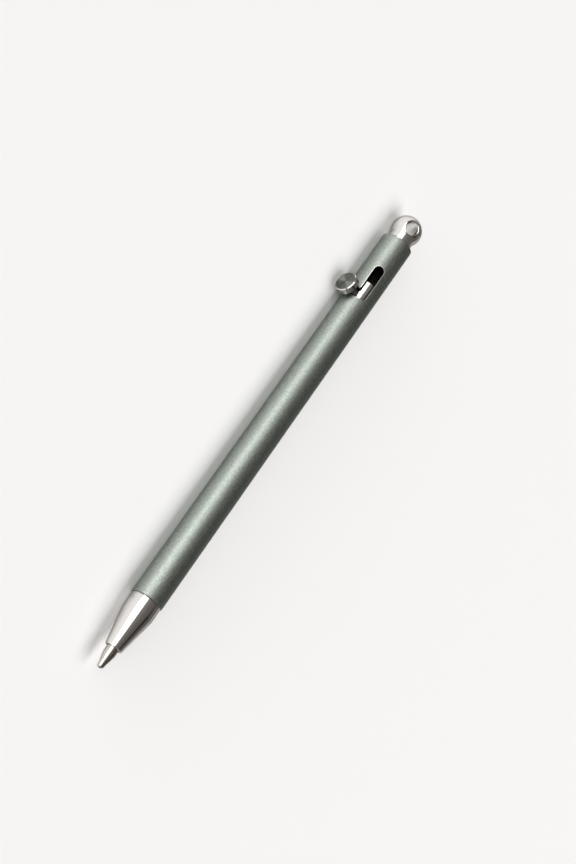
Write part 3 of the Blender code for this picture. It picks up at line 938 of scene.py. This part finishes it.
seal = turn_piece("nose_seal_ring", seal_profile(), sides=96, ring=True)
lay_along(seal)
seal.data.materials.append(seal_rubber)
even_normals(seal, smooth=60.0)
dress(seal, "nose_seal", "nose_o_ring")

# %% [markdown]
# ## The ball end
#
# The end cap is turned too: a threaded plug in the barrel, a neck, a small fillet and a ball. A
# drill then goes across the ball for a cord, and a countersink breaks both mouths. Here the drill
# and the countersink are one spool, turned on the lathe and taken out with a Boolean. The ball's
# shading is carried over from an uncut copy, as on the barrel, so that the cut doesn't show in it.

# %% Turn the end cap
neck_radius = 2.35 * MM
ball_radius = 2.85 * MM
fillet = 0.25 * MM
rim_to_groove = 0.6 * MM
cap_back, plug_end = (corner.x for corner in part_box("end_cap"))
ball_x = cap_back + ball_radius
plug_radius = rear_bore - thread_gap
cap_groove = rear_rim + rim_to_groove
fillet_x = ball_x + math.sqrt((ball_radius + fillet) ** 2 - (neck_radius + fillet) ** 2)
fillet_touch = math.degrees(math.atan2(neck_radius + fillet, fillet_x - ball_x))


def cap_profile():
    """Half of the end cap's section, from the ball's pole to the plug's end."""
    ball = arc((ball_x, 0.0), ball_radius, 180.0, fillet_touch, steps=72)
    ball[0] = (ball_x - ball_radius, 0.0)
    hollow = arc((fillet_x, neck_radius + fillet), fillet, 180.0 + fillet_touch, 270.0, steps=8)
    return ball + hollow[1:] + [
        (rear_rim - seat_gap - shoulder_break, neck_radius),
        (rear_rim - seat_gap, neck_radius - shoulder_break),
        (rear_rim - seat_gap, plug_radius),
    ] + relief_groove(cap_groove, plug_radius, 1.0) + [
        (plug_end - thread_chamfer, plug_radius),
        (plug_end, plug_radius - thread_chamfer),
        (plug_end, 0.0),
    ]


cap = turn_piece("ball_end_polished", cap_profile(), sides=192)
lay_along(cap)
print("turned the end cap:", len(cap.data.polygons), "faces")

# %% Drill and countersink the ball
hole_radius = 1.3 * MM
countersink = 0.25 * MM
ball_skin = 0.004 * MM
knob_to_hole = math.radians(59.7)
hole_angle = knob_angle - knob_to_hole
mouth = math.sqrt(ball_radius ** 2 - hole_radius ** 2) - countersink
spool_end = ball_radius + overshoot
ball_middle = Vector((ball_x, axis_y, axis_z))
spool_outline = [
    (-spool_end, 0.0),
    (-spool_end, hole_radius + spool_end - mouth),
    (-mouth, hole_radius),
    (mouth, hole_radius),
    (spool_end, hole_radius + spool_end - mouth),
    (spool_end, 0.0),
]


def on_ball(point):
    """True on the ball's own round surface."""
    return point.x < fillet_x - fillet and (point - ball_middle).length > ball_radius - ball_skin


def stand_across(piece, x, turn):
    """Stand a piece that was made round X across the pen, at a place along it and an angle round it."""
    piece.rotation_euler = (0.0, -QUARTER_TURN, 0.0)
    settle(piece)
    piece.location = (x, 0.0, 0.0)
    settle(piece)
    lay_along(piece, turn)


spool = turn_piece("drill_and_countersink", spool_outline, sides=72)
stand_across(spool, ball_x, hole_angle)
clean_cap = copy_of(cap)
cut_out(cap, spool)
cut_thread(cap, cap_groove, plug_end, plug_radius)
cap.data.materials.append(polished_titanium)
even_normals(cap)
even_normals(clean_cap)
borrow_normals(cap, clean_cap, on_ball)
dress(cap, "barrel", "end_cap")

# %% [markdown]
# ## The plunger and the bolt handle
#
# The plunger is a ground rod in the rear bore. Its rear end shows in the slot. A hole across it
# takes the stem, and a socket in its front takes the refill's tail. The handle is knob and stem in
# one: the face keeps its turning rings, and both edges of the knob have a polished chamfer. Both
# pieces are spun. The handle is then stood across the pen, and so is the drill for its hole.

# %% Turn and drill the plunger
plunger_back, plunger_front = (corner.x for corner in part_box("plunger"))
slide_gap = 0.1 * MM
plunger_radius = rear_bore - slide_gap
plunger_edge = 0.15 * MM
socket_radius = nose_bore
socket_break = 0.06 * MM
stem_hole_radius = 0.9 * MM
stem_hole_floor = 1.05 * MM
drill_reach = 0.1 * MM
stem_hole_top = barrel_radius + drill_reach
socket_web = 6.6 * MM
socket_end = notch_x + stem_hole_radius + socket_web
plunger_outline = [
    (plunger_back, 0.0),
    (plunger_back, plunger_radius - plunger_edge),
    (plunger_back + plunger_edge / 3.0, plunger_radius - plunger_edge / 3.0),
    (plunger_back + plunger_edge, plunger_radius),
    (plunger_front - plunger_edge, plunger_radius),
    (plunger_front, plunger_radius - plunger_edge),
    (plunger_front, socket_radius + socket_break),
    (plunger_front - socket_break, socket_radius),
    (socket_end, socket_radius),
    (socket_end, 0.0),
]
plunger = turn_piece("plunger_polished", plunger_outline, sides=96)
lay_along(plunger)
stem_drill = turn_piece("stem_drill", [
    (-stem_hole_floor, 0.0),
    (-stem_hole_floor, stem_hole_radius),
    (stem_hole_top, stem_hole_radius),
    (stem_hole_top, 0.0),
], sides=48)
stand_across(stem_drill, notch_x, knob_angle)
cut_out(plunger, stem_drill)
plunger.data.materials.append(ground_titanium)
even_normals(plunger)
dress(plunger, "bolt", "plunger")

# %% Turn the bolt handle
knob_foot = Vector(hinge["pos_m"])
knob_up = Vector((0.0, -math.sin(knob_angle), math.cos(knob_angle)))
knob_face = (Vector(knob_mount["pos_m"]) - knob_foot).length
knob_radius = 2.05 * MM
knob_height = 1.35 * MM
knob_under = knob_face - knob_height
knob_chamfer = 0.15 * MM
knob_fillet = 0.08 * MM
stem_radius = slot_half - slide_gap
stem_foot = 1.0 * MM
foot_chamfer = 0.1 * MM
slack = 0.01 * MM
flat_facing = 0.9
handle_outline = [
    (-stem_foot, 0.0),
    (-stem_foot, stem_radius - foot_chamfer),
    (-stem_foot + foot_chamfer, stem_radius),
    (knob_under - knob_fillet, stem_radius),
    (knob_under - knob_fillet / 4.0, stem_radius + knob_fillet / 4.0),
    (knob_under, stem_radius + knob_fillet),
    (knob_under, knob_radius - knob_chamfer),
    (knob_under + knob_chamfer, knob_radius),
    (knob_face - knob_chamfer, knob_radius),
    (knob_face, knob_radius - knob_chamfer),
    (knob_face, 0.0),
]


def is_knob_side(face):
    """True for the knob's rim and its chamfers, but not for its face, its underside and the stem."""
    height = (face.calc_center_median() - knob_foot).dot(knob_up)
    return abs(face.normal.dot(knob_up)) < flat_facing and height > knob_under - slack


handle = turn_piece("bolt_handle_turned", handle_outline, sides=96)
stand_across(handle, notch_x, knob_angle)
for finish in (turned_titanium_painted_dark, polished_titanium):
    handle.data.materials.append(finish)
polished_faces = paint(handle, polished_titanium, is_knob_side)
even_normals(handle)
dress(handle, "bolt", "bolt_handle", knob_foot, knob_up)
print("polished faces of the knob:", polished_faces)

# %% [markdown]
# ## The return spring
#
# The spring is one round wire. A circle is drawn, and a Screw modifier sweeps it round the axis and
# forwards at once, which is just how the wire is wound.

# %% Wind the spring
wire_radius = 0.2 * MM
spring_turns = 10
spring_mean = 1.75 * MM
first_x = plunger_front + wire_radius + spring_gap
last_x = spring_shoulder - wire_radius - spring_gap
bpy.ops.object.select_all(action="DESELECT")
bpy.ops.mesh.primitive_circle_add(vertices=14, radius=wire_radius, location=(first_x, 0.0, spring_mean),
                                  rotation=(QUARTER_TURN, 0.0, 0.0))
spring = bpy.context.object
spring.name = spring.data.name = "return_spring_wire"
settle(spring)
wind(spring, (last_x - first_x) / spring_turns, spring_turns, steps=40)
lay_along(spring, knob_angle - QUARTER_TURN)
spring.data.materials.append(spring_wire)
dress(spring, "barrel", "return_spring", smooth=60.0)

# %% [markdown]
# ## The refill
#
# The refill is a metal tube, crimped onto a tapered point, with a ball in the point's tip and ink
# paste behind it. Only the point shows. The rest is modelled as well, as it is seen with the nose
# off. The point is a cylinder, a cone and a rounded end, whose lip is rolled over the ball.

# %% Turn the refill's tube
tail, tube_front = (corner.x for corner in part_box("refill_tube"))
refill_radius = 1.175 * MM
tube_wall = 0.225 * MM
tube_bore = refill_radius - tube_wall
tail_round = 0.2 * MM
tube_edge = 0.05 * MM
edge_to_crimp = 0.8 * MM
crimp_x = tube_front - edge_to_crimp
crimp = 0.1 * MM
crimp_depth = 0.05 * MM
tube_outline = [
    (tail, 0.0),
    (tail, refill_radius - tail_round),
    (tail + 0.3 * tail_round, refill_radius - 0.3 * tail_round),
    (tail + tail_round, refill_radius),
    (crimp_x - 2.0 * crimp, refill_radius),
    (crimp_x - crimp, refill_radius - crimp_depth),
    (crimp_x + crimp, refill_radius - crimp_depth),
    (crimp_x + 2.0 * crimp, refill_radius),
    (tube_front - tube_edge, refill_radius),
    (tube_front, refill_radius - tube_edge),
    (tube_front, tube_bore),
    (tail + tube_wall, tube_bore),
    (tail + tube_wall, 0.0),
]
tube = turn_piece("refill_tube_metal", tube_outline, sides=64)
lay_along(tube)
tube.data.materials.append(nickel_silver)
even_normals(tube)
dress(tube, "refill", "refill_tube")

# %% Turn the refill's point
TIP_STEPS = 14
point_ball = 0.35 * MM
point_ball_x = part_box("writing_ball")[1].x - point_ball
point_back, lip_x = (corner.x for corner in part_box("refill_point"))
point_radius = 1.1 * MM
point_edge = 0.05 * MM
tip_radius = 0.62 * MM
lip_wall = 0.08 * MM
feed_radius = 0.2 * MM
fit_gap = 0.03 * MM
cone_edge = 0.06 * MM
lip_socket = point_ball + fit_gap
lip_open = math.degrees(math.acos((lip_x - point_ball_x) / lip_socket))
feed_open = 180.0 - math.degrees(math.asin(feed_radius / lip_socket))
nose_to_cone = 1.15 * MM
cone_length = 2.2 * MM
cone_start = nose_front + nose_to_cone
cone_end = cone_start + cone_length


def point_profile():
    """Half of the point's section, from the shank round the tip to the ink feed."""
    lip_radius = lip_socket * math.sin(math.radians(lip_open)) + lip_wall
    turns = [QUARTER_TURN * step / TIP_STEPS for step in range(TIP_STEPS + 1)]
    tip = [(cone_end + (lip_x - cone_end) * math.sin(turn),
            lip_radius + (tip_radius - lip_radius) * math.cos(turn)) for turn in turns]
    slope = (point_radius - tip_radius) / (cone_end - cone_start)
    return [
        (point_back, feed_radius),
        (point_back, tube_bore - fit_gap),
        (tube_front + fit_gap, tube_bore - fit_gap),
        (tube_front + fit_gap, point_radius - point_edge),
        (tube_front + fit_gap + point_edge, point_radius),
        (cone_start - cone_edge, point_radius),
        (cone_start + cone_edge, point_radius - cone_edge * slope),
    ] + tip + arc((point_ball_x, 0.0), lip_socket, lip_open, feed_open, steps=14)


point = turn_piece("refill_point_metal", point_profile(), sides=96, ring=True)
lay_along(point)
point.data.materials.append(nickel_silver)
even_normals(point)
dress(point, "refill", "refill_point")

# %% Turn the writing ball
ball_outline = arc((point_ball_x, 0.0), point_ball, 180.0, 0.0, steps=32)
ball_outline[0] = (point_ball_x - point_ball, 0.0)
ball_outline[-1] = (point_ball_x + point_ball, 0.0)
writing_ball = turn_piece("writing_ball_carbide", ball_outline, sides=64)
lay_along(writing_ball)
writing_ball.data.materials.append(tungsten_carbide)
dress(writing_ball, "writing_ball", "writing_ball")

# %% [markdown]
# ## The ink
#
# The paste fills the tube behind the point, and its end is drawn into a hollow by the tube's wall.
# It is one more spin: a plain rod with that hollow in its rear end.

# %% Fill in the ink
ink_back, ink_front = (corner.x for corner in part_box("ink_column"))
ink_radius = tube_bore - fit_gap
ink_edge = 0.02 * MM
hollow_end = [(0.35 * MM, 0.0), (0.3 * MM, 0.4 * MM), (0.12 * MM, 0.75 * MM), (0.0, ink_radius)]
ink_outline = [(ink_back + depth, radius) for depth, radius in hollow_end] + [
    (ink_front - ink_edge, ink_radius),
    (ink_front, ink_radius - ink_edge),
    (ink_front, 0.0),
]
ink = turn_piece("ink_paste_column", ink_outline, sides=48)
lay_along(ink)
ink.data.materials.append(ink_paste)
dress(ink, "refill", "ink_column", smooth=60.0)

# %% [markdown]
# ## Floor and light
#
# The floor is a large pale plane of matt paper. Polished metal shows what stands round it, so the
# lamps are placed for their reflections: a bright strip low in front gives the barrel its soft
# streak, and a taller and weaker one above it gives the polished parts their white band. The room
# is dim, and dimmest high up behind the pen, which keeps the far side dark. All lamps are large and
# stand well back, so that the light falls evenly on the paper. A weak strip behind shows the pen's
# back in other views. The last lamp is for the paper alone: metal doesn't mirror it. It is large
# and high behind the pen, so the shadow on the paper is soft, and falls where the pen's near side
# mirrors it as a dark edge.

# %% Lay the floor
floor_width = 8.0
bpy.ops.object.select_all(action="DESELECT")
bpy.ops.mesh.primitive_plane_add(size=floor_width, location=(0.0, 0.0, 0.0))
floor = bpy.context.object
floor.name = "pale_floor"
floor_paper, floor_shader = new_finish("matt_white_paper", "F4F4F4", metallic=0.0, roughness=0.9)
floor_shader.inputs["Specular IOR Level"].default_value = 0.1
floor.data.materials.append(floor_paper)
print("laid", floor.name)

# %% Set the lamps
pen_middle = (cad_low + cad_high) / 2.0


def add_lamp(name, azimuth, elevation, distance, width, length, power):
    """A rectangular lamp that looks at the pen. Azimuth 0 is in front, on the -Y side."""
    flat, up = math.radians(azimuth), math.radians(elevation)
    way = Vector((math.sin(flat) * math.cos(up), -math.cos(flat) * math.cos(up), math.sin(up)))
    bpy.ops.object.light_add(type="AREA", location=pen_middle + way * distance)
    lamp = bpy.context.object
    lamp.name = name
    lamp.rotation_euler = (-way).to_track_quat("-Z", "Y").to_euler()
    lamp.data.shape = "RECTANGLE"
    lamp.data.size = width
    lamp.data.size_y = length
    lamp.data.energy = power
    return lamp


streak_lamp = add_lamp("low_front_lamp", azimuth=0.0, elevation=6.0, distance=2.1, width=2.7,
                       length=0.441, power=24.3)
band_lamp = add_lamp("high_front_lamp", azimuth=0.0, elevation=26.5, distance=2.1, width=2.7,
                     length=1.086, power=15.3)
back_lamp = add_lamp("weak_back_lamp", azimuth=180.0, elevation=16.0, distance=2.4, width=2.7,
                     length=0.75, power=2.43)
paper_lamp = add_lamp("floor_lamp", azimuth=180.0, elevation=66.0, distance=2.7, width=3.0,
                      length=2.7, power=72.9)
paper_lamp.visible_glossy = False
print("lamps:", streak_lamp.name, band_lamp.name, back_lamp.name, paper_lamp.name)

# %% Dim the room
dimmest_elevation = math.radians(68.0)
dimmest_way = (0.0, math.cos(dimmest_elevation), math.sin(dimmest_elevation))
world = bpy.context.scene.world or bpy.data.worlds.new("dim_room")
bpy.context.scene.world = world
world.use_nodes = True
way = add(world, "ShaderNodeTexCoord").outputs["Generated"]
nearness = add(world, "ShaderNodeVectorMath", {"operation": "DOT_PRODUCT"}, _0=way,
               _1=dimmest_way).outputs["Value"]
walls = two_tones(world, nearness, colour("8C8884"), colour("625E5B"), low=0.3, high=0.85)
room = two_tones(world, nearness, walls, colour("363433"), low=0.955, high=0.99)
wire_up(world.node_tree.nodes["Background"], Color=room)
print("the room is dimmest", round(math.degrees(dimmest_elevation)), "degrees up, behind the pen")

# %% [markdown]
# ## The camera
#
# A camera was fitted to the two rims of the barrel in the photo, whose widths and places give its
# distance and its lens. It looks down at the pen from the nose's side. Its place is in millimetres.

# %% Place the camera
camera_place = (106.775 * MM, -250.904 * MM, 175.644 * MM)
camera_turns = [math.radians(turn) for turn in (-31.6155, -52.0504, 151.2479)]
bpy.ops.object.camera_add(location=camera_place, rotation=camera_turns)
camera = bpy.context.object
camera.name = "photo_camera"
camera.data.sensor_width = 36.0
camera.data.lens = 78.25
camera.data.clip_start = 0.005
camera.data.clip_end = 20.0
bpy.context.scene.camera = camera
bpy.context.scene.view_settings.view_transform = "Standard"
print("camera is", round((camera.location - pen_middle).length / MM), "mm from the pen")
